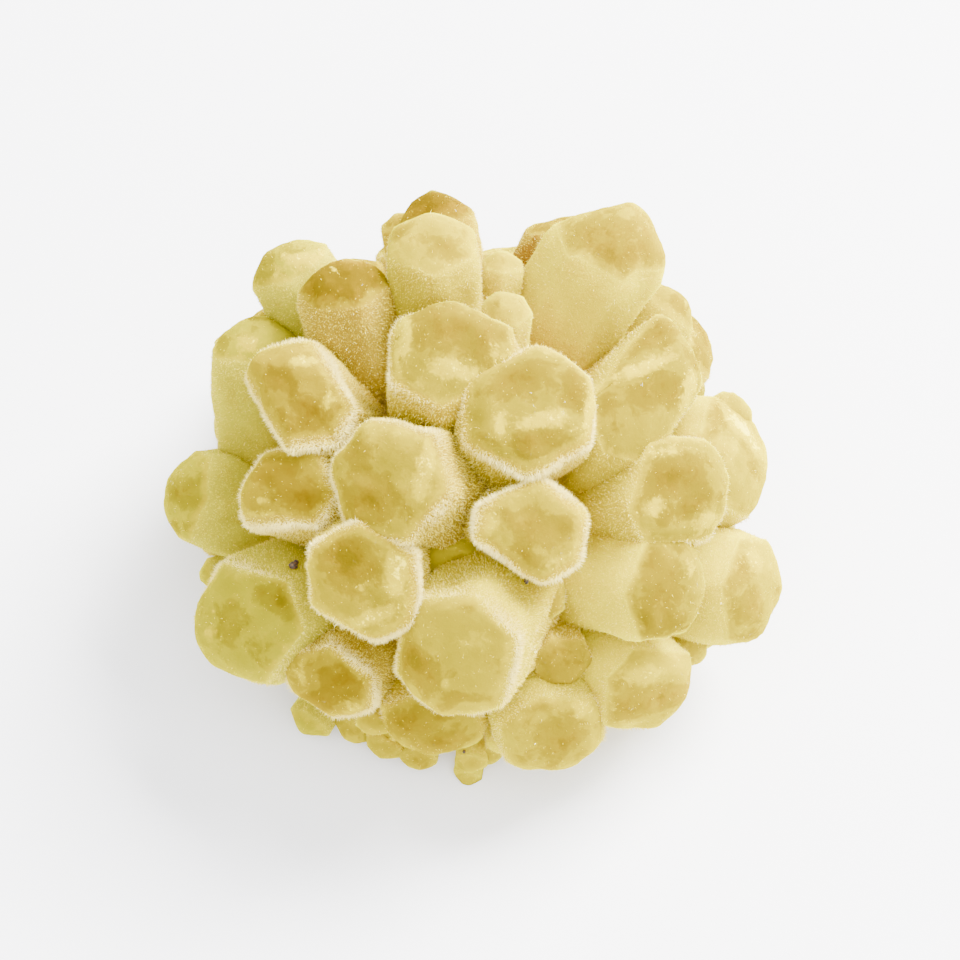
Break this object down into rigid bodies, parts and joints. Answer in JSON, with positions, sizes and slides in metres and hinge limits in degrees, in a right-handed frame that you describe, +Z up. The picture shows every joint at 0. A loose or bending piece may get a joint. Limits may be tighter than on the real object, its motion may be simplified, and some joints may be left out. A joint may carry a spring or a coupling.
{
  "type": "phantom quartz cluster",
  "caption": "Mineral specimen: stout yellow quartz crystals that radiate in a dome from one druse-covered root, cut flat below to stand on a shelf.",
  "frame": {"origin": "on the cut base face, below the point that the crystals radiate from", "axes": "+Z up, square to the cut base face; -Y towards the show side; +X to the right of someone who faces the show side"},
  "size_m": [0.0855, 0.0822, 0.0575],
  "materials": {
    "yellow_quartz": "translucent lemon-yellow quartz, glossy on the end faces and velvety with fine needles on the sides"
  },
  "bodies": {
    "root": {"crystal_cluster": "yellow_quartz"}
  },
  "joints": []
}
